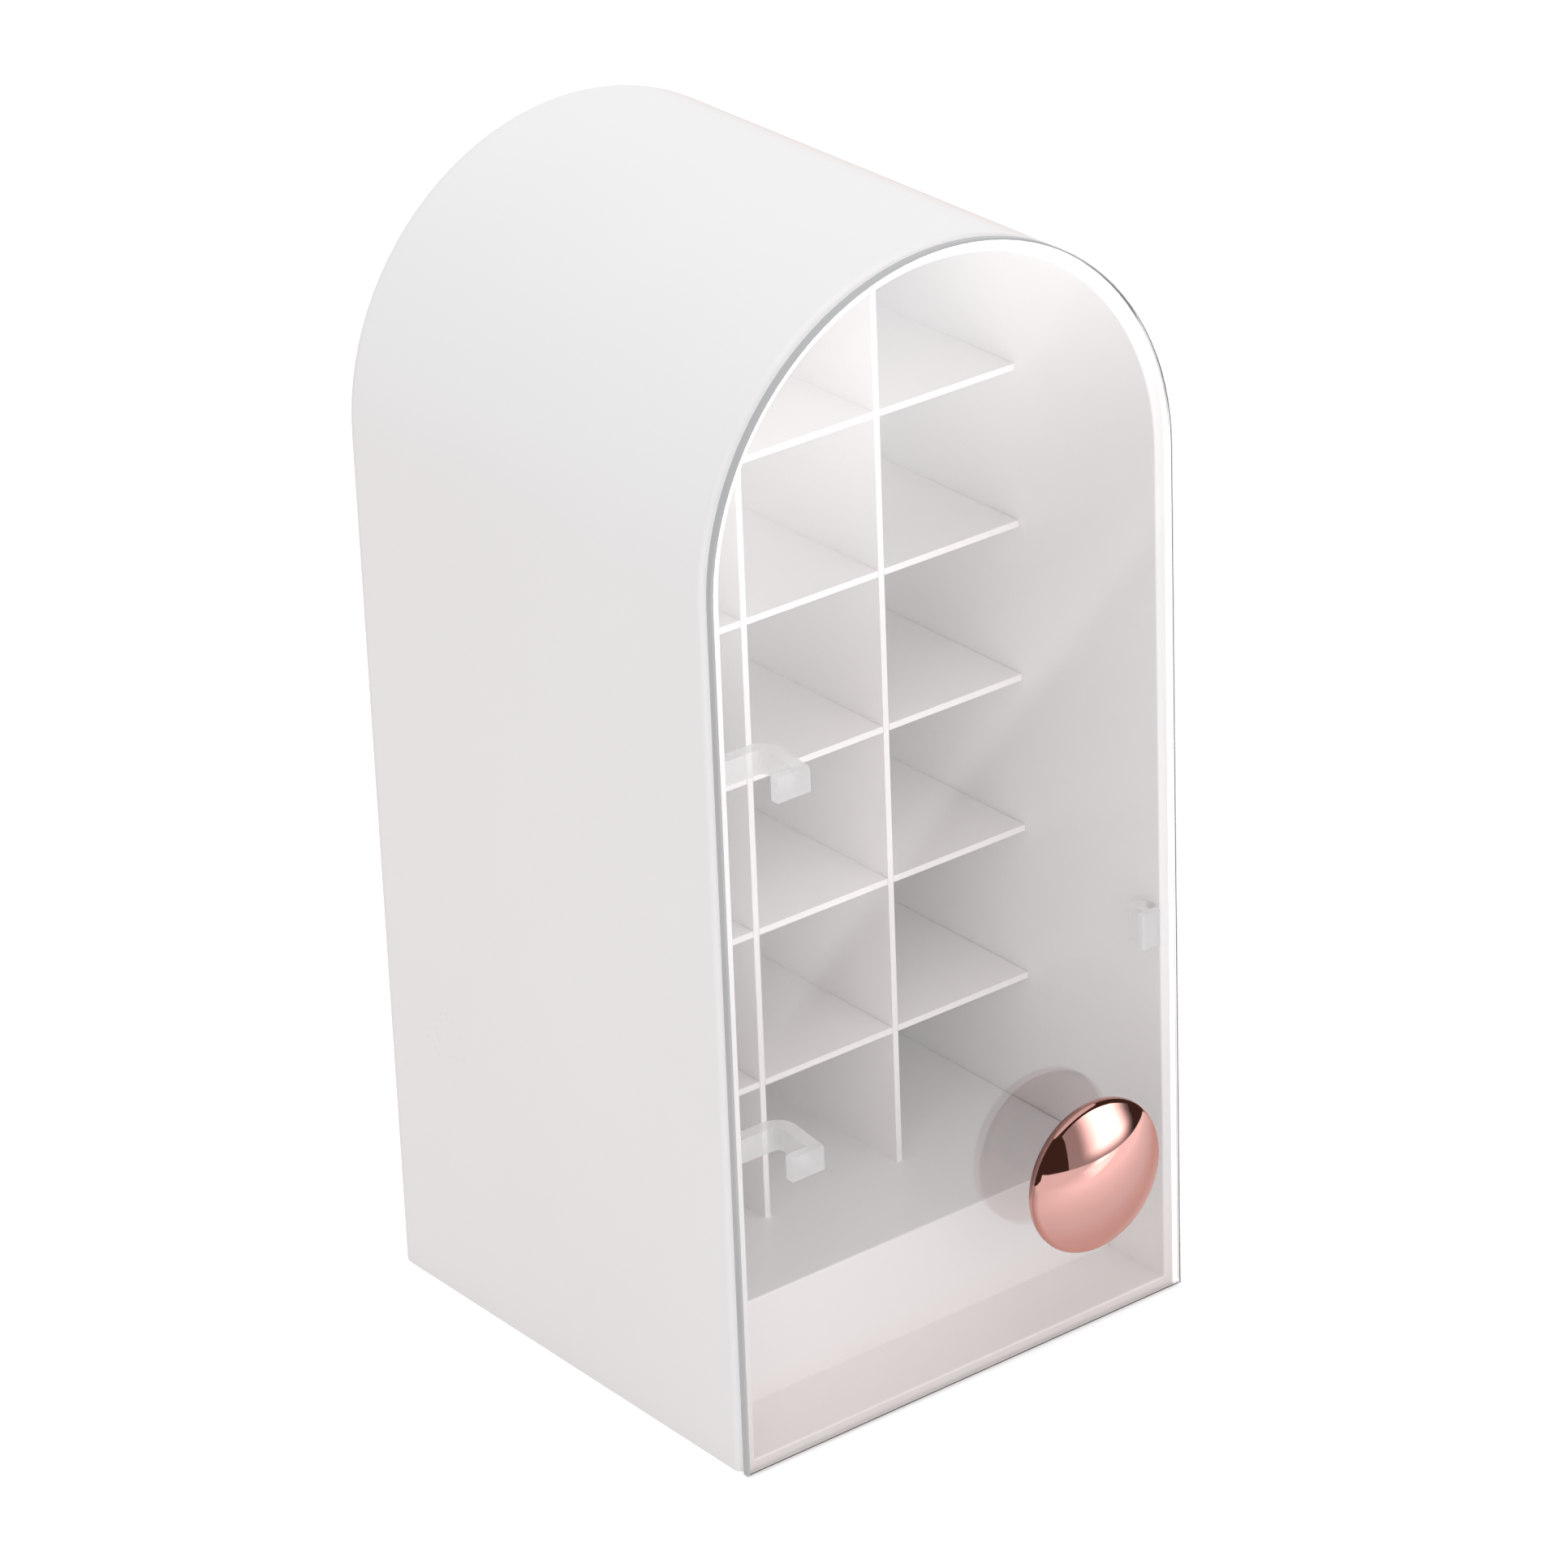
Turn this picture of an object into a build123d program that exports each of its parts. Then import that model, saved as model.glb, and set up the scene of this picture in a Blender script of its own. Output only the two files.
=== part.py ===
from build123d import *
from math import sqrt
import os

# A lipstick organizer for a dressing table: an arch-topped case, a grid of shelves and
# dividers behind a clear door, two clear goose-neck hinge arms and a round metal-look knob.
# Millimetres. +X is right and +Y is back as seen from the door, +Z is up.
# The origin is the middle of the case's underside.

# Case shell
case_width = 100.0
case_depth = 101.0
case_height = 215.0
side_wall = 2.8
back_wall = 2.0
case_floor = 2.2
back_round = 3.0
rim_round = 1.5
lip_round = 0.4

# Raised base under the grid
base_top = 22.6
base_setback = 15.3
base_wall = 1.6
base_round = 0.4

# Shelves and dividers
plate = 1.2
grid_setback = 36.5
grid_shift = 0.6
divider_spacing = 30.4
first_shelf = 49.1
shelf_pitch = 29.9
shelf_count = 5

# Door
door_thickness = 1.8
door_gap = 0.8
door_lift = 0.4
door_bevel = 0.3

# Hinges
hinge_heights = {"lower": 56.1, "upper": 128.2}
hinge_depth = 12.2
hinge_inset = 1.9
arm_height = 4.6
arm_thickness = 2.6
arm_reach = 16.7
arm_slant = 1.7
arm_bend = 4.0
foot_length = 7.0
foot_thickness = 1.8
eye_radius = 1.6
pin_radius = 0.7
pin_head_radius = 1.4
pin_head_height = 0.6
lug_thickness = 1.6
web_thickness = 3.0

# Catch
catch_height = 74.0
catch_width = 7.0
catch_plate = 1.2
catch_tongue = 1.4
catch_length = 5.2
catch_nose = 1.3
catch_nose_length = 1.6
keeper_length = 1.4
keeper_stand = 0.5

# Knob
knob_side = 26.2
knob_z = 35.5
knob_radius = 14.7
knob_dome = 4.0
knob_band = 2.5
knob_bead = 0.65
knob_flat = 0.2
knob_stand = 5.5
neck_radius = 5.0
neck_foot_radius = 6.2
neck_foot = 1.4
screw_radius = 1.5
screw_head_radius = 3.0
screw_head_height = 1.8
screw_head_round = 0.7
screw_bite = 6.0
drive_reach = 1.8
drive_width = 0.8
drive_depth = 0.9

# Clearances
fit_gap = 0.2
slot_gap = 0.1
swing_gap = 0.3
pin_play = 0.05
press_play = 0.02
screw_play = 0.15

# Planes and levels shared by the pieces
half_width = case_width / 2
inner_half_width = half_width - side_wall
arch_level = case_height - half_width
rim_y = -case_depth / 2
back_inside_y = case_depth / 2 - back_wall
door_back_y = rim_y - door_gap
door_front_y = door_back_y - door_thickness
base_front_y = rim_y + base_setback
grid_front_y = rim_y + grid_setback
grid_back_y = back_inside_y - fit_gap
grid_middle_y = (grid_front_y + grid_back_y) / 2
shelf_levels = [first_shelf + shelf_pitch * i for i in range(shelf_count)]
divider_places = {
    "left": grid_shift - divider_spacing / 2,
    "right": grid_shift + divider_spacing / 2,
}
knob_x = half_width - knob_side
pivot_x = -inner_half_width + hinge_inset
pivot_y = door_back_y + hinge_depth


def block(x, y, z):
    """Box between two X values, two Y values and two Z values."""
    size = (x[1] - x[0], y[1] - y[0], z[1] - z[0])
    middle = ((x[0] + x[1]) / 2, (y[0] + y[1]) / 2, (z[0] + z[1]) / 2)
    return Pos(*middle) * Box(*size)


def upright_cylinder(x, y, z, radius):
    """Cylinder along Z between two Z values."""
    return Pos(x, y, (z[0] + z[1]) / 2) * Cylinder(radius, z[1] - z[0])


def arch_block(half, bottom, y):
    """Solid with straight sides and a half-round top, between two Y values."""
    sides = Polyline(
        (half, y[0], arch_level),
        (half, y[0], bottom),
        (-half, y[0], bottom),
        (-half, y[0], arch_level),
    )
    top = ThreePointArc(
        (-half, y[0], arch_level),
        (0, y[0], arch_level + half),
        (half, y[0], arch_level),
    )
    face = make_face(sides.edges() + top.edges())
    return extrude(face, amount=y[1] - y[0], dir=(0, 1, 0))


def arch_reach(radius, level):
    """Half width of an arch of this radius at a level."""
    if level <= arch_level:
        return radius
    return sqrt(radius ** 2 - (level - arch_level) ** 2)


def upright_edges(part, x, y):
    """Edges along Z that stand at one place."""
    return [
        e for e in part.edges().filter_by(Axis.Z)
        if abs(e.center().X - x) < 0.01 and abs(e.center().Y - y) < 0.01
    ]


def make_case_shell():
    outside = arch_block(half_width, 0, (rim_y, case_depth / 2))
    back_edges = outside.faces().sort_by(Axis.Y)[-1].edges()
    outside = fillet(back_edges, back_round)
    front_edges = outside.faces().sort_by(Axis.Y)[0].edges().sort_by(Axis.Z)[1:]
    outside = fillet(front_edges, rim_round)
    inside = arch_block(inner_half_width, case_floor, (rim_y, back_inside_y))
    shell = outside - inside
    lip_edges = shell.faces().sort_by(Axis.Y)[0].inner_wires()[0].edges()
    return fillet(lip_edges, lip_round)


def make_base_platform():
    half = inner_half_width - fit_gap
    back = back_inside_y - fit_gap
    tray = block((-half, half), (base_front_y, back), (case_floor, base_top))
    front_top = tray.edges().filter_by(Axis.X).group_by(Axis.Y)[0].sort_by(Axis.Z)[-1]
    tray = fillet(front_top, base_round)
    hollow = block(
        (-half + base_wall, half - base_wall),
        (base_front_y + base_wall, back - base_wall),
        (case_floor, base_top - base_wall),
    )
    return tray - hollow


def make_shelf(level):
    half = arch_reach(inner_half_width - fit_gap, level + plate)
    shelf = block((-half, half), (grid_front_y, grid_back_y), (level, level + plate))
    half_slot = plate / 2 + slot_gap
    for x in divider_places.values():
        shelf -= block(
            (x - half_slot, x + half_slot),
            (grid_front_y, grid_middle_y + slot_gap),
            (level, level + plate),
        )
    return shelf


def make_divider(x):
    outer_edge = abs(x) + plate / 2
    arch_inside = inner_half_width - fit_gap
    top = arch_level + sqrt(arch_inside ** 2 - outer_edge ** 2)
    sides = (x - plate / 2, x + plate / 2)
    divider = block(sides, (grid_front_y, grid_back_y), (base_top, top))
    for level in shelf_levels:
        divider -= block(
            sides,
            (grid_middle_y, grid_back_y),
            (level, level + plate + slot_gap),
        )
    return divider


def make_door_panel():
    door = arch_block(half_width, door_lift, (door_front_y, door_back_y))
    edges = door.faces().sort_by(Axis.Y)[0].edges() + door.faces().sort_by(Axis.Y)[-1].edges()
    door = chamfer(edges, door_bevel)
    middle = (door_front_y + door_back_y) / 2
    hole = Cylinder(screw_radius + screw_play, door_thickness * 2)
    return door - Pos(knob_x, middle, knob_z) * Rot(90, 0, 0) * hole


def make_hinge_arm(height):
    z = (height - arm_height / 2, height + arm_height / 2)
    bend_x = pivot_x + arm_reach
    end_x = bend_x - arm_slant
    back_y = pivot_y + arm_thickness / 2
    leg_front_y = pivot_y - arm_thickness / 2
    foot_back_y = door_back_y + foot_thickness
    lean = arm_slant / (back_y - door_back_y)
    foot_inner_x = end_x - arm_thickness + lean * foot_thickness
    leg_inner_x = end_x - arm_thickness + lean * (leg_front_y - door_back_y)
    outline = Polyline(
        (pivot_x, leg_front_y, z[0]),
        (pivot_x, back_y, z[0]),
        (bend_x, back_y, z[0]),
        (end_x, door_back_y, z[0]),
        (end_x - foot_length, door_back_y, z[0]),
        (end_x - foot_length, foot_back_y, z[0]),
        (foot_inner_x, foot_back_y, z[0]),
        (leg_inner_x, leg_front_y, z[0]),
        close=True,
    )
    arm = extrude(make_face(outline.edges()), amount=arm_height, dir=(0, 0, 1))
    arm = fillet(upright_edges(arm, bend_x, back_y), arm_bend)
    arm = fillet(upright_edges(arm, leg_inner_x, leg_front_y), arm_bend - arm_thickness)
    arm += upright_cylinder(pivot_x, pivot_y, z, eye_radius)
    return arm - upright_cylinder(pivot_x, pivot_y, z, pin_radius + pin_play)


def make_hinge_bracket(height):
    half_gap = arm_height / 2 + swing_gap
    half_height = half_gap + lug_thickness
    x = (-inner_half_width, pivot_x + eye_radius)
    web_y = pivot_y + eye_radius + swing_gap
    y = (pivot_y - eye_radius, web_y + web_thickness)
    z = (height - half_height, height + half_height)
    bracket = block(x, y, z) - block(x, (y[0], web_y), (height - half_gap, height + half_gap))
    bracket = fillet(upright_edges(bracket, x[1], y[0]), eye_radius / 2)
    return bracket - upright_cylinder(pivot_x, pivot_y, z, pin_radius + press_play)


def make_hinge_pin(height):
    half_height = arm_height / 2 + swing_gap + lug_thickness
    top = height + half_height
    pin = upright_cylinder(pivot_x, pivot_y, (height - half_height, top), pin_radius)
    head = upright_cylinder(pivot_x, pivot_y, (top, top + pin_head_height), pin_head_radius)
    return pin + head


def make_door_catch():
    z = (catch_height - catch_width / 2, catch_height + catch_width / 2)
    nose_x = inner_half_width - keeper_stand - swing_gap
    tongue_x = (nose_x - catch_nose - catch_tongue, nose_x - catch_nose)
    back_y = door_back_y + catch_length
    nose_y = back_y - catch_nose_length
    catch = block(tongue_x, (door_back_y, back_y), z)
    catch += block(
        (tongue_x[0] - catch_tongue, nose_x),
        (door_back_y, door_back_y + catch_plate),
        z,
    )
    nose = Polyline(
        (tongue_x[1], nose_y, z[0]),
        (nose_x, nose_y, z[0]),
        (tongue_x[1], back_y, z[0]),
        close=True,
    )
    return catch + extrude(make_face(nose.edges()), amount=catch_width, dir=(0, 0, 1))


def make_catch_keeper():
    back_y = door_back_y + catch_length - catch_nose_length - swing_gap
    return block(
        (inner_half_width - keeper_stand, inner_half_width),
        (back_y - keeper_length, back_y),
        (catch_height - catch_width / 2, catch_height + catch_width / 2),
    )


def make_knob():
    back = -knob_stand
    rim = back - knob_band
    edge = knob_radius - knob_bead
    ball = (edge ** 2 + knob_dome ** 2) / (2 * knob_dome)

    def dome_point(reach):
        return (reach, rim - knob_dome + ball - sqrt(ball ** 2 - reach ** 2))

    dome = ThreePointArc(dome_point(knob_flat), dome_point(edge / 2), (edge, rim))
    band = ThreePointArc((edge, rim), (knob_radius, rim + knob_band / 2), (edge, back))
    rest = Polyline(
        (edge, back),
        (neck_radius, back),
        (neck_radius, -neck_foot),
        (neck_foot_radius, -neck_foot),
        (neck_foot_radius, 0),
        (0, 0),
        (0, dome_point(knob_flat)[1]),
        dome_point(knob_flat),
    )
    face = make_face(dome.edges() + band.edges() + rest.edges())
    knob = revolve(face, Axis.Y)
    hole_depth = screw_bite + screw_play
    hole = Pos(0, -hole_depth / 2, 0) * Rot(90, 0, 0) * Cylinder(
        screw_radius + press_play, hole_depth
    )
    return Pos(knob_x, door_front_y, knob_z) * (knob - hole)


def make_knob_screw():
    shank_length = door_thickness + screw_bite
    shank = Pos(0, -shank_length / 2, 0) * Rot(90, 0, 0) * Cylinder(screw_radius, shank_length)
    head = Pos(0, screw_head_height / 2, 0) * Rot(90, 0, 0) * Cylinder(
        screw_head_radius, screw_head_height
    )
    rim = head.faces().sort_by(Axis.Y)[-1].edges()
    head = fillet(rim, screw_head_round)
    drive = block(
        (-drive_reach, drive_reach),
        (screw_head_height - drive_depth, screw_head_height),
        (-drive_width / 2, drive_width / 2),
    )
    drive += Rot(0, 90, 0) * drive
    return Pos(knob_x, door_back_y, knob_z) * (shank + head - drive)


parts = {
    "case_shell": make_case_shell(),
    "base_platform": make_base_platform(),
    "door_panel": make_door_panel(),
    "door_catch": make_door_catch(),
    "catch_keeper": make_catch_keeper(),
    "knob": make_knob(),
    "knob_screw": make_knob_screw(),
}
for number, level in enumerate(shelf_levels, start=1):
    parts[f"shelf_{number}"] = make_shelf(level)
for side, x in divider_places.items():
    parts[f"divider_{side}"] = make_divider(x)
for place, height in hinge_heights.items():
    parts[f"hinge_arm_{place}"] = make_hinge_arm(height)
    parts[f"hinge_bracket_{place}"] = make_hinge_bracket(height)
    parts[f"hinge_pin_{place}"] = make_hinge_pin(height)

os.makedirs("parts", exist_ok=True)
for name, part in parts.items():
    export_step(part, f"parts/{name}.step")
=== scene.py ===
import math

import bpy
from mathutils import Matrix, Vector

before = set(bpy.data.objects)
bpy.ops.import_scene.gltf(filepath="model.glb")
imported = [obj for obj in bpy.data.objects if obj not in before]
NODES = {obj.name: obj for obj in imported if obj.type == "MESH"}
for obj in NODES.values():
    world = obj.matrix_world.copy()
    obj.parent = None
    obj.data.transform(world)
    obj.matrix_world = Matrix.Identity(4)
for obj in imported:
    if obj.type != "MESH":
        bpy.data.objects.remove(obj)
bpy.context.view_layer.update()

WHITE = (1.0, 1.0, 1.0)

# Camera, fitted to the outline, the door's edge and the shelf edges of the photograph
CAMERA_AZIMUTH = math.radians(-37.53)
CAMERA_ELEVATION = math.radians(25.97)
CAMERA_ROLL = math.radians(-2.19)
CAMERA_DISTANCE = 1.1138
CAMERA_TARGET = Vector((-0.0366, -0.0531, 0.1297))
CAMERA_LENS = 154.17
SENSOR = 36.0

# Soft studio light: even light from all round, and softboxes with place, aim and power in watts
AMBIENT = 0.735
AMBIENT_COLOR = (0.98, 0.99, 1.0)
SOFTBOX_SIZE = 1.4
SOFTBOXES = {
    "key_softbox": ((-0.75, -1.15, 0.85), (0, 0, 0.10), 2.5),
    "front_softbox": ((-0.30, -1.40, 0.35), (0, 0, 0.10), 4.5),
    "top_softbox": ((0.30, 0.10, 1.30), (0, 0, 0.15), 3.0),
}

# Upright cards that the clear door and the plated knob mirror: a dark surround and a bright window.
# Azimuths are in degrees from the front, positive to the right; heights are in metres.
CARD_STEPS = 48
DARK_CARD_RADIUS = 1.5
DARK_CARD_AZIMUTH = (-125.0, 115.0)
DARK_CARD_HEIGHTS = (-0.22, 2.20)
DARK_CARD_COLOR = (0.068, 0.042, 0.032)
BRIGHT_CARD_RADIUS = 1.45
BRIGHT_CARD_AZIMUTH = (0.0, 62.0)
BRIGHT_CARD_HEIGHTS = (-0.16, 0.80)
BRIGHT_CARD_RISE = (9.0, 31.0)
BRIGHT_CARD_LOW_RISE = (-0.14, 0.09)
BRIGHT_CARD_FALL = (44.0, 62.0)
BRIGHT_CARD_LEVELS = (0.5, 3.4)
BRIGHT_CARD_REST = 0.05

# Floor as the camera sees it
FLOOR_RADIUS = 4.0
FLOOR_STEPS = 96
FLOOR_TINTS = ((0.90, 0.90, 0.90), (0.92, 0.92, 0.92))
FLOOR_LIFT = 0.42

# Floor as mirrors see it, by x and y in metres: a painted reflection of lit ground, with painted shade and
# light.
# It has a painted warm tint up to the object's front and is white before it. The near part is painted shade
# of the object and grows brighter towards the front. The far part lies on the right, beyond a line whose
# mirror image runs slantwise over the door, and has a painted glow farther out. Ground beside what the door
# shows keeps the near part's painted shade, a little darker. At a grazing look the cards show in place of
# the ground.
FLOOR_PAINTED_WARM_COLOR = (1.0, 0.78, 0.72)
FLOOR_PAINTED_WARM_PLACES = (-0.062, -0.085)
FLOOR_NEAR_LEVELS = (0.85, 1.6)
FLOOR_NEAR_PLACES = (-0.060, -0.160)
FLOOR_FAR_LEVELS = (2.55, 1.85)
FLOOR_FAR_PLACES = (0.05, 0.30)
FLOOR_FAR_START = (0.04, 0.09)
FLOOR_LINE_START = Vector((0.051, -0.176))
FLOOR_LINE_END = Vector((0.256, -0.300))
FLOOR_LINE_WIDTH = 0.007
FLOOR_GLOW = 3.5
FLOOR_GLOW_DIRECTION = Vector((-0.39, -0.92))
FLOOR_GLOW_PLACES = (0.19, 0.30)
FLOOR_SIDE_SLOPE = 0.768
FLOOR_SIDE_PLACES = (-0.160, -0.080)
FLOOR_PAINTED_SIDE_SHADE = 0.75
FLOOR_GRAZING = (0.87, 0.88)

# Materials: refraction, colours of the light let through, and the noise range that cloudiness spans
PLASTIC_IOR = 1.49
SHEET_IOR = 1.58
SHEET_OPEN_COLOR = (0.98, 0.967, 0.965)
FITTING_OPEN_COLOR = (0.97, 0.97, 0.97)
INNER_EDGE_COLOR = (0.88, 0.88, 0.885)
CLOUD = (0.3, 0.7)

# A face of the door is a broad one when its normal lies at least this much along y
BROAD_FACE_TURN = 0.9


def add_camera():
    az, el = CAMERA_AZIMUTH, CAMERA_ELEVATION
    back = Vector((math.sin(az) * math.cos(el), -math.cos(az) * math.cos(el), math.sin(el)))
    level = (-back).cross(Vector((0, 0, 1))).normalized()
    upright = level.cross(-back)
    right = level * math.cos(CAMERA_ROLL) + upright * math.sin(CAMERA_ROLL)
    up = upright * math.cos(CAMERA_ROLL) - level * math.sin(CAMERA_ROLL)
    data = bpy.data.cameras.new("camera")
    data.lens = CAMERA_LENS
    data.sensor_width = SENSOR
    data.clip_start = 0.01
    data.clip_end = 50.0
    camera = bpy.data.objects.new("camera", data)
    turn = Matrix((right, up, back)).transposed().to_4x4()
    camera.matrix_world = Matrix.Translation(CAMERA_TARGET + back * CAMERA_DISTANCE) @ turn
    bpy.context.scene.collection.objects.link(camera)
    bpy.context.scene.camera = camera


class Shader:
    """The node tree of a material or world, with short ways to add and link nodes."""

    def __init__(self, owner, output="ShaderNodeOutputMaterial"):
        self.owner = owner
        owner.use_nodes = True
        self.tree = owner.node_tree
        self.tree.nodes.clear()
        self.out = self.tree.nodes.new(output)

    def node(self, kind, **values):
        made = self.tree.nodes.new(kind)
        for key, value in values.items():
            setattr(made, key, value)
        return made

    def put(self, socket, value):
        """Link a socket to another one, or set it to a number or colour."""
        if isinstance(value, bpy.types.NodeSocket):
            self.tree.links.new(value, socket)
        elif isinstance(value, tuple) and len(value) == 3 and socket.type == "RGBA":
            socket.default_value = (*value, 1.0)
        else:
            socket.default_value = value

    def add(self, kind, **sockets):
        """A shader node with its sockets given by name, with _ for a space."""
        made = self.node(kind)
        for key, value in sockets.items():
            self.put(made.inputs[key.replace("_", " ")], value)
        return made.outputs[0]

    def coords(self):
        return self.node("ShaderNodeTexCoord").outputs["Object"]

    def place(self):
        """The object coordinates as three sockets x, y and z."""
        parts = self.node("ShaderNodeSeparateXYZ")
        self.put(parts.inputs[0], self.coords())
        return tuple(parts.outputs)

    def ray(self, name):
        return self.node("ShaderNodeLightPath").outputs[name]

    def facing(self, blend):
        """0 where the surface is seen square on, towards 1 where it is seen edge on."""
        turned = self.node("ShaderNodeLayerWeight")
        turned.inputs["Blend"].default_value = blend
        return turned.outputs["Facing"]

    def math(self, operation, *values):
        made = self.node("ShaderNodeMath", operation=operation)
        for socket, value in zip(made.inputs, values):
            self.put(socket, value)
        return made.outputs[0]

    def along(self, x, y, direction):
        """How far the point x, y lies along a direction."""
        return self.math("MULTIPLY_ADD", x, direction.x, self.math("MULTIPLY", y, direction.y))

    def noise(self, scale, detail=3.0, roughness=0.5, stretch=(1.0, 1.0, 1.0)):
        mapping = self.node("ShaderNodeMapping")
        self.put(mapping.inputs["Vector"], self.coords())
        self.put(mapping.inputs["Scale"], stretch)
        made = self.node("ShaderNodeTexNoise")
        self.put(made.inputs["Vector"], mapping.outputs[0])
        self.put(made.inputs["Scale"], scale)
        self.put(made.inputs["Detail"], detail)
        self.put(made.inputs["Roughness"], roughness)
        return made.outputs["Fac"]

    def span(self, value, low, high, start=0.0, end=1.0, kind="LINEAR"):
        """Map start..end to low..high."""
        made = self.node("ShaderNodeMapRange", interpolation_type=kind)
        ends = {"Value": value, "From Min": start, "From Max": end, "To Min": low, "To Max": high}
        for name, item in ends.items():
            self.put(made.inputs[name], item)
        return made.outputs[0]

    def step(self, value, low, high, start, end):
        """Map start..end to low..high with soft ends."""
        return self.span(value, low, high, start, end, "SMOOTHSTEP")

    def blend(self, factor, a, b):
        """Colour a where the factor is 0 and b where it is 1."""
        made = self.node("ShaderNodeMix", data_type="RGBA")
        self.put(made.inputs["Factor"], factor)
        self.put(made.inputs[6], a)
        self.put(made.inputs[7], b)
        return made.outputs[2]

    def mix(self, factor, a, b):
        """Shader a where the factor is 0 and b where it is 1."""
        made = self.node("ShaderNodeMixShader")
        for socket, value in zip(made.inputs, (factor, a, b)):
            self.put(socket, value)
        return made.outputs[0]

    def bump(self, height, strength, distance, normal=None):
        made = self.node("ShaderNodeBump")
        self.put(made.inputs["Strength"], strength)
        self.put(made.inputs["Distance"], distance)
        self.put(made.inputs["Height"], height)
        if normal:
            self.put(made.inputs["Normal"], normal)
        return made.outputs[0]

    def finish(self, surface):
        self.put(self.out.inputs["Surface"], surface)
        return self.owner


def scaled(color, factor):
    return tuple(min(1.0, c * factor) for c in color)


def white_plastic(name, color, gloss, mottle):
    """Moulded white plastic: faint cloudiness, a fine orange-peel skin and uneven gloss."""
    s = Shader(bpy.data.materials.new(name))
    cloud = s.noise(18.0, detail=4.0)
    fine = s.noise(900.0, detail=2.0)
    peel = s.noise(420.0, roughness=0.55)
    wave = s.noise(26.0, detail=1.0)
    patches = s.span(cloud, gloss - 0.04, gloss + 0.04, *CLOUD)
    paleness = s.span(cloud, 0.0, 1.0, *CLOUD)
    skin = s.bump(peel, strength=0.04, distance=0.00005)
    return s.finish(s.add(
        "ShaderNodeBsdfPrincipled",
        Base_Color=s.blend(paleness, scaled(color, 1 - mottle), scaled(color, 1 + mottle)),
        Roughness=s.math("ADD", patches, s.span(fine, -0.02, 0.02)),
        IOR=PLASTIC_IOR,
        Coat_Weight=0.15,
        Coat_Roughness=0.18,
        Normal=s.bump(wave, strength=0.12, distance=0.0003, normal=skin),
    ))


def clear_sheet(name, tint):
    """Polished clear sheet: faint smears and a slight waviness. Lamps and even light shine through it."""
    s = Shader(bpy.data.materials.new(name))
    smear = s.noise(30.0, detail=4.0, stretch=(1.0, 1.0, 0.35))
    speck = s.noise(700.0, detail=2.0)
    glass = s.add(
        "ShaderNodeBsdfPrincipled",
        Base_Color=s.blend(s.span(speck, 0.0, 1.0, 0.35, 0.65), tint, scaled(tint, 0.99)),
        Roughness=s.span(smear, 0.0, 0.03, 0.35, 0.75),
        IOR=SHEET_IOR,
        Transmission_Weight=1.0,
        Normal=s.bump(s.noise(14.0, detail=1.0), strength=0.02, distance=0.0002),
    )
    open_way = s.add("ShaderNodeBsdfTransparent", Color=SHEET_OPEN_COLOR)
    lit = s.mix(s.ray("Is Shadow Ray"), glass, open_way)
    return s.finish(s.mix(s.ray("Is Diffuse Ray"), lit, open_way))


def sheet_edge(name, color):
    """Cut and flamed edge of the clear sheet: a pale grey satin from outside, whose grey is painted shade,
    clear from inside.
    """
    s = Shader(bpy.data.materials.new(name))
    saw = s.noise(260.0, detail=3.0, stretch=(0.15, 4.0, 0.15))
    cloud = s.noise(40.0, detail=3.0)
    # The satin's grey is painted shade for the dark look of the clear sheet's edge
    satin = s.add(
        "ShaderNodeBsdfPrincipled",
        Base_Color=s.blend(s.span(cloud, 0.0, 1.0, *CLOUD), color, scaled(color, 0.93)),
        Roughness=s.span(saw, 0.22, 0.38),
        IOR=PLASTIC_IOR,
        Normal=s.bump(saw, strength=0.10, distance=0.00004),
    )
    glass = s.add(
        "ShaderNodeBsdfPrincipled",
        Base_Color=INNER_EDGE_COLOR,
        Roughness=0.02,
        IOR=SHEET_IOR,
        Transmission_Weight=1.0,
    )
    inside = s.node("ShaderNodeNewGeometry").outputs["Backfacing"]
    return s.finish(s.mix(inside, satin, glass))


def clear_moulding(name, color, clearness):
    """Clear moulded fitting: see-through where seen square on, pale and glossy towards its edges."""
    s = Shader(bpy.data.materials.new(name))
    cloud = s.noise(160.0, detail=4.0)
    flow = s.noise(90.0, detail=2.0, stretch=(1.0, 1.0, 0.3))
    body = s.add(
        "ShaderNodeBsdfPrincipled",
        Base_Color=s.blend(s.span(cloud, 0.0, 1.0, *CLOUD), color, scaled(color, 0.95)),
        Roughness=s.span(flow, 0.06, 0.16),
        IOR=PLASTIC_IOR,
        Normal=s.bump(flow, strength=0.25, distance=0.0001),
    )
    open_way = s.add("ShaderNodeBsdfTransparent", Color=FITTING_OPEN_COLOR)
    cover = s.span(s.facing(0.45), 1.0 - clearness, 0.95)
    return s.finish(s.mix(cover, open_way, body))


def plated_metal(name, color, deep, rough, scratch):
    """Mirror-polished plating: a slight haze, fine polishing marks and a deeper cast in the haze."""
    s = Shader(bpy.data.materials.new(name))
    haze = s.noise(60.0, detail=4.0)
    marks = s.noise(240.0, detail=2.0, stretch=(1.0, 1.0, 0.12))
    veil = s.span(haze, rough, rough + 0.03, *CLOUD)
    return s.finish(s.add(
        "ShaderNodeBsdfPrincipled",
        Base_Color=s.blend(s.span(haze, 0.0, 1.0, 0.35, 0.7), color, deep),
        Metallic=1.0,
        Roughness=s.math("MAXIMUM", s.math("ADD", veil, s.span(marks, -0.01, 0.015)), 0.01),
        Normal=s.bump(marks, strength=scratch, distance=0.00003),
    ))


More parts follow.
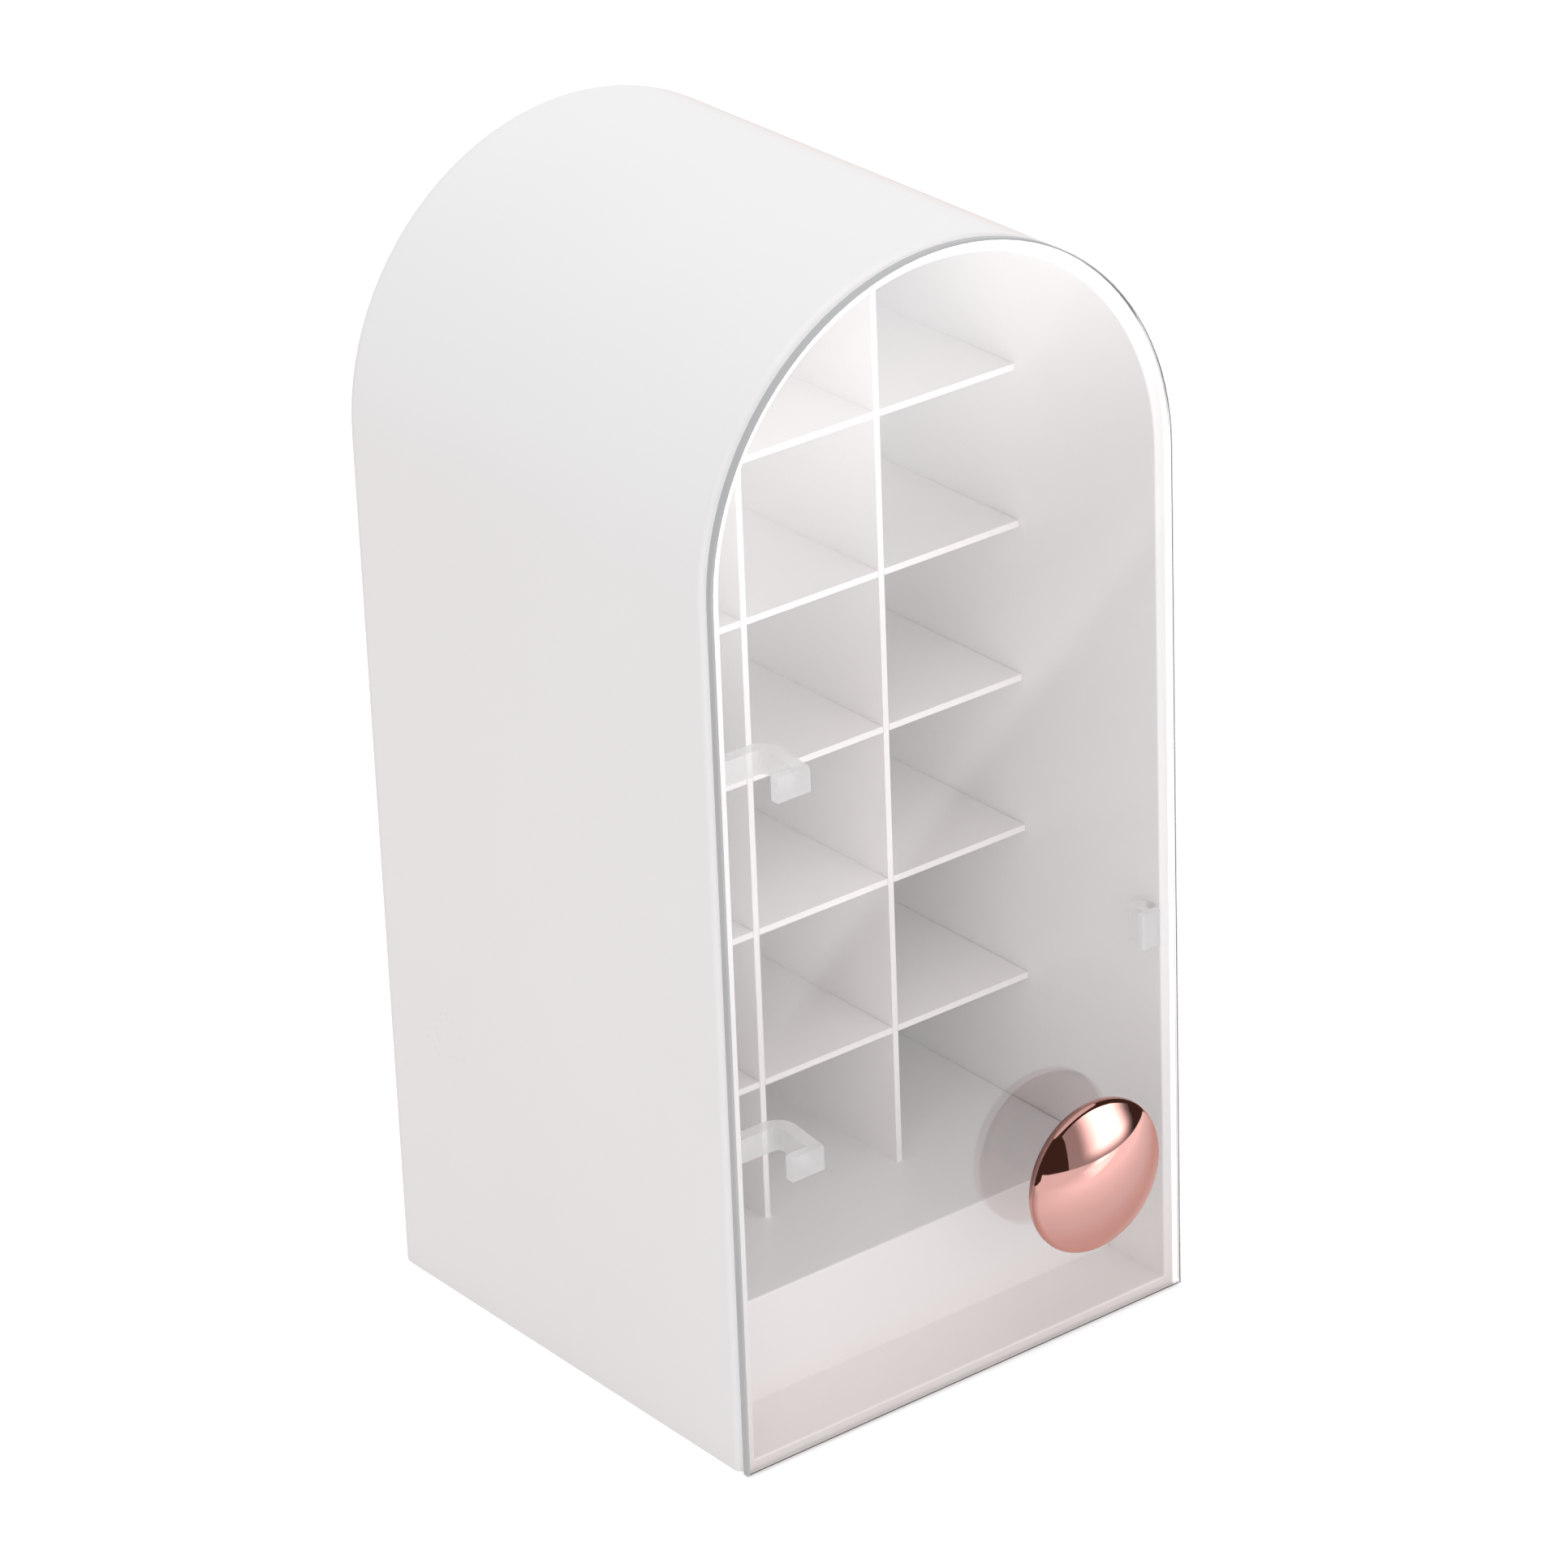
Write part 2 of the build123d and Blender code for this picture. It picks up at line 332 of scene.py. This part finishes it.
def painted_floor_reflection(s):
    """A painted reflection of lit ground, with painted shade, that mirrors see. At a grazing look it lets
    the cards behind it show.
    """
    x, y, _ = s.place()
    beside = s.step(s.math("MULTIPLY_ADD", y, FLOOR_SIDE_SLOPE, x), 1.0, 0.0, *FLOOR_SIDE_PLACES)

    line = (FLOOR_LINE_END - FLOOR_LINE_START).normalized()
    across = Vector((-line.y, line.x))
    edge = FLOOR_LINE_START.dot(across)
    half = FLOOR_LINE_WIDTH / 2
    near = s.step(s.along(x, y, across), 0.0, 1.0, edge - half, edge + half)
    near = s.math("MAXIMUM", near, s.step(x, 1.0, 0.0, *FLOOR_FAR_START))
    near = s.math("MAXIMUM", near, beside)

    # Painted shade of the object on the near ground: brighter towards the front, darker beside what the door
    # shows
    near_painted_shade = s.span(y, *FLOOR_NEAR_LEVELS, *FLOOR_NEAR_PLACES)
    near_painted_shade = s.math("MULTIPLY", near_painted_shade, s.span(beside, 1.0, FLOOR_PAINTED_SIDE_SHADE))
    # Painted light on the far ground, with a painted glow farther out
    glow = s.step(s.along(x, y, FLOOR_GLOW_DIRECTION), 0.0, FLOOR_GLOW, *FLOOR_GLOW_PLACES)
    far_painted_light = s.math("ADD", glow, s.span(x, *FLOOR_FAR_LEVELS, *FLOOR_FAR_PLACES))
    level = s.math("MULTIPLY_ADD", near, s.math("SUBTRACT", near_painted_shade, far_painted_light), far_painted_light)
    # Painted warm reflection up to the object's front
    color = s.blend(s.span(y, 0.0, 1.0, *FLOOR_PAINTED_WARM_PLACES), FLOOR_PAINTED_WARM_COLOR, WHITE)
    ground = s.add("ShaderNodeEmission", Color=color, Strength=level)

    grazing = s.span(s.facing(0.5), 0.0, 1.0, *FLOOR_GRAZING)
    return s.mix(grazing, ground, s.add("ShaderNodeBsdfTransparent", Color=WHITE))


def floor_material():
    """White matte floor, lifted to white for the camera and through glass. Mirrors see a painted reflection
    of lit ground.
    """
    s = Shader(bpy.data.materials.new("floor_white_and_painted_reflection"))
    matte = s.add("ShaderNodeBsdfDiffuse", Color=s.blend(s.noise(40.0), *FLOOR_TINTS))
    lifted = s.node("ShaderNodeAddShader")
    s.put(lifted.inputs[0], matte)
    s.put(lifted.inputs[1], s.add("ShaderNodeEmission", Color=WHITE, Strength=FLOOR_LIFT))
    seen = s.math("MAXIMUM", s.ray("Is Camera Ray"), s.ray("Is Transmission Ray"))
    shown = s.mix(seen, matte, lifted.outputs[0])
    reflected = s.math("GREATER_THAN", s.ray("Glossy Depth"), 0.5)
    in_mirror = s.math("MULTIPLY", s.ray("Is Glossy Ray"), reflected)
    return s.finish(s.mix(in_mirror, shown, painted_floor_reflection(s)))


def add_mesh(name, points, faces, material):
    mesh = bpy.data.meshes.new(name)
    mesh.from_pydata(points, [], faces)
    mesh.materials.append(material)
    made = bpy.data.objects.new(name, mesh)
    bpy.context.scene.collection.objects.link(made)
    return made


def add_floor():
    turns = [2 * math.pi * i / FLOOR_STEPS for i in range(FLOOR_STEPS)]
    ring = [(FLOOR_RADIUS * math.cos(t), FLOOR_RADIUS * math.sin(t), 0) for t in turns]
    add_mesh("floor", ring, [list(range(FLOOR_STEPS))], floor_material())


def dark_card_material():
    s = Shader(bpy.data.materials.new("card_dark"))
    return s.finish(s.add("ShaderNodeEmission", Color=DARK_CARD_COLOR, Strength=1.0))


def bright_card_material():
    """Glow with a bright middle that fades to the left and below, and dies away to the right."""
    s = Shader(bpy.data.materials.new("card_bright"))
    x, y, z = s.place()
    turn = s.math("DEGREES", s.math("ARCTAN2", x, s.math("MULTIPLY", y, -1.0)))
    rise = s.step(turn, 0.0, 1.0, *BRIGHT_CARD_RISE)
    low_rise = s.step(z, 0.0, 1.0, *BRIGHT_CARD_LOW_RISE)
    fall = s.step(turn, 1.0, BRIGHT_CARD_REST, *BRIGHT_CARD_FALL)
    level = s.span(s.math("MULTIPLY", rise, low_rise), *BRIGHT_CARD_LEVELS)
    return s.finish(s.add("ShaderNodeEmission", Color=WHITE, Strength=s.math("MULTIPLY", level, fall)))


def add_card(name, radius, azimuths, heights, material):
    """Upright card bent round the object, seen by mirror rays alone."""
    low, high = (math.radians(a) for a in azimuths)
    turns = [low + (high - low) * i / CARD_STEPS for i in range(CARD_STEPS + 1)]
    points = [(radius * math.sin(t), -radius * math.cos(t), z) for z in heights for t in turns]
    faces = [(i, i + 1, i + CARD_STEPS + 2, i + CARD_STEPS + 1) for i in range(CARD_STEPS)]
    card = add_mesh(name, points, faces, material)
    for kind in ("camera", "diffuse", "transmission", "shadow"):
        setattr(card, "visible_" + kind, False)


def add_cards():
    dark = dark_card_material()
    bright = bright_card_material()
    add_card("card_dark", DARK_CARD_RADIUS, DARK_CARD_AZIMUTH, DARK_CARD_HEIGHTS, dark)
    add_card("card_bright", BRIGHT_CARD_RADIUS, BRIGHT_CARD_AZIMUTH, BRIGHT_CARD_HEIGHTS, bright)


def add_world():
    """White to the camera, to mirrors and through clear sheet, and an even light to matte surfaces."""
    world = bpy.data.worlds.new("studio")
    bpy.context.scene.world = world
    s = Shader(world, "ShaderNodeOutputWorld")
    seen = s.math("MAXIMUM", s.ray("Is Camera Ray"), s.ray("Is Transmission Ray"))
    seen = s.math("MAXIMUM", seen, s.ray("Is Glossy Ray"))
    even = s.add("ShaderNodeBackground", Color=AMBIENT_COLOR, Strength=AMBIENT)
    s.finish(s.mix(seen, even, s.add("ShaderNodeBackground", Color=WHITE, Strength=1.0)))


def add_softbox(name, place, target, power):
    data = bpy.data.lights.new(name, "AREA")
    data.shape = "SQUARE"
    data.size = SOFTBOX_SIZE
    data.energy = power
    lamp = bpy.data.objects.new(name, data)
    lamp.location = place
    aim = Vector(target) - Vector(place)
    lamp.rotation_euler = aim.to_track_quat("-Z", "Y").to_euler()
    for kind in ("camera", "glossy", "transmission"):
        setattr(lamp, "visible_" + kind, False)
    bpy.context.scene.collection.objects.link(lamp)


def split_door_edge(door, sheet, edge):
    """The door's narrow faces and bevels take the edge material, and its two broad faces the sheet's."""
    door.data.materials.clear()
    door.data.materials.append(sheet)
    door.data.materials.append(edge)
    for face in door.data.polygons:
        face.material_index = int(abs(face.normal.y) < BROAD_FACE_TURN)


def dress_nodes():
    case_white = white_plastic("case_white", (0.93, 0.912, 0.908), gloss=0.32, mottle=0.008)
    grid_white = white_plastic("grid_white", (0.960, 0.932, 0.928), gloss=0.38, mottle=0.006)
    fittings = clear_moulding("clear_fittings", (0.93, 0.93, 0.93), clearness=0.75)
    knob_rose = plated_metal("knob_rose", (0.62, 0.345, 0.31), (0.59, 0.315, 0.28), rough=0.02, scratch=0.02)
    steel = plated_metal("pin_steel", (0.60, 0.60, 0.61), (0.52, 0.52, 0.54), rough=0.22, scratch=0.05)
    kinds = {
        "case_shell": case_white,
        "base_platform": case_white,
        "divider": grid_white,
        "shelf": grid_white,
        "door_catch": fittings,
        "catch_keeper": fittings,
        "hinge_arm": fittings,
        "hinge_bracket": fittings,
        "hinge_pin": steel,
        "knob_screw": steel,
        "knob": knob_rose,
    }
    # The longest start that fits a name wins, so knob_screw isn't taken for knob
    for name, node in NODES.items():
        fitting = [k for k in kinds if name.startswith(k)]
        if fitting:
            node.data.materials.clear()
            node.data.materials.append(kinds[max(fitting, key=len)])
    sheet = clear_sheet("door_clear", (0.988, 0.979, 0.978))
    # The edge's grey is painted shade for the dark look of the clear sheet's edge
    edge = sheet_edge("door_edge", (0.52, 0.52, 0.525))
    split_door_edge(NODES["door_panel"], sheet, edge)


add_camera()
add_world()
for name, (place, target, power) in SOFTBOXES.items():
    add_softbox(name, place, target, power)
add_floor()
add_cards()
dress_nodes()

view = bpy.context.scene.view_settings
view.view_transform = "Standard"
